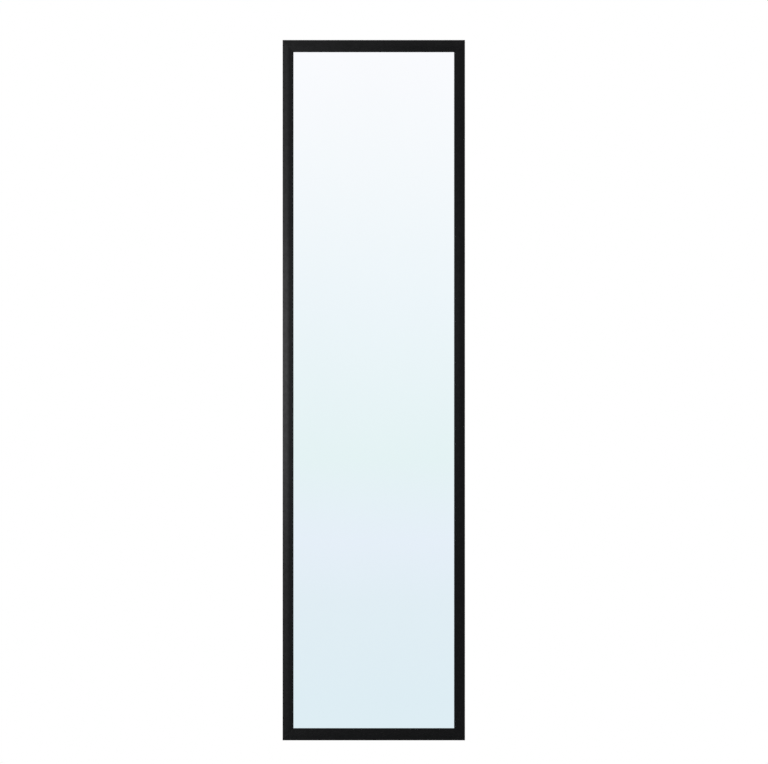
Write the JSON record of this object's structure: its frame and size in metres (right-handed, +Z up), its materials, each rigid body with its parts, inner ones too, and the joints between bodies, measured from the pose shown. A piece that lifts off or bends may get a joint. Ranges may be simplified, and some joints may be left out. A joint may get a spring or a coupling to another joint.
{
  "type": "pull-out closet mirror",
  "caption": "Full-length framed mirror on a side-mounted full-extension slide, with a friction pivot that swings it to face the user.",
  "frame": {"origin": "middle of the mounting plate's back face, on the closet's side panel", "axes": "+Y out of the back into the side panel, +Z up, the glass faces -Y and the mirror pulls out towards -X"},
  "size_m": [0.3174, 0.044, 1.2192],
  "materials": {
    "frame_black": "satin black powder coat",
    "mirror_silver": "polished silvered glass",
    "hardboard": "raw fibreboard",
    "black_steel": "black e-coat",
    "zinc_steel": "bright zinc plate",
    "spring_steel": "bare spring steel",
    "cage_steel": "dull zinc plate",
    "ball_chrome": "polished",
    "zinc_cast": "as cast",
    "bronze": "sintered, oiled",
    "white_acetal": "matte",
    "black_rubber": "matte",
    "white_foam": "matte closed-cell foam"
  },
  "bodies": {
    "mount": {"mounting_plate": "black_steel", "cabinet_member": "zinc_steel", "slide_rivets": "zinc_steel", "rear_stop": "black_rubber"},
    "intermediate": {"intermediate_member": "zinc_steel"},
    "outer_cage": {"outer_ball_cage": "cage_steel", "outer_balls": "ball_chrome"},
    "inner_cage": {"inner_ball_cage": "cage_steel", "inner_balls": "ball_chrome"},
    "carriage": {"inner_member": "zinc_steel", "carriage_bracket": "black_steel", "carriage_rivets": "zinc_steel", "pivot_bushes": "bronze", "friction_washers": "white_acetal"},
    "mirror": {"stile_left": "frame_black", "stile_right": "frame_black", "rail_top": "frame_black", "rail_bottom": "frame_black", "corner_keys": "zinc_cast", "corner_key_screws": "zinc_steel", "nut_bar_left": "zinc_steel", "nut_bar_right": "zinc_steel", "mirror_glass": "mirror_silver", "glazing_gasket": "black_rubber", "setting_blocks": "black_rubber", "foam_tapes": "white_foam", "backing_board": "hardboard", "spring_clips": "spring_steel", "carrier_plate": "black_steel", "carrier_screws": "zinc_steel", "rest_bumpers": "black_rubber", "pivot_clevis": "black_steel", "clevis_rivets": "zinc_steel", "pivot_pin": "zinc_steel", "pin_washer": "zinc_steel", "disc_springs": "spring_steel", "lock_nut": "zinc_steel"}
  },
  "joints": [
    {"name": "pull_out", "type": "slide", "parent": "mount", "child": "carriage", "axis": [-1, 0, 0], "range_m": [0, 0.24]},
    {"name": "intermediate_run", "type": "slide", "parent": "mount", "child": "intermediate", "axis": [-1, 0, 0], "range_m": [0, 0.12]},
    {"name": "outer_cage_run", "type": "slide", "parent": "mount", "child": "outer_cage", "axis": [-1, 0, 0], "range_m": [0, 0.06]},
    {"name": "inner_cage_run", "type": "slide", "parent": "mount", "child": "inner_cage", "axis": [-1, 0, 0], "range_m": [0, 0.18]},
    {"name": "swivel", "type": "hinge", "parent": "carriage", "child": "mirror", "pos_m": [-0.15, -0.0135, 0], "axis": [0, 0, -1], "range_deg": [0, 110]}
  ],
  "couplings": [
    {"joint": "intermediate_run", "follows": "pull_out", "ratio": 0.5},
    {"joint": "outer_cage_run", "follows": "pull_out", "ratio": 0.25},
    {"joint": "inner_cage_run", "follows": "pull_out", "ratio": 0.75}
  ]
}
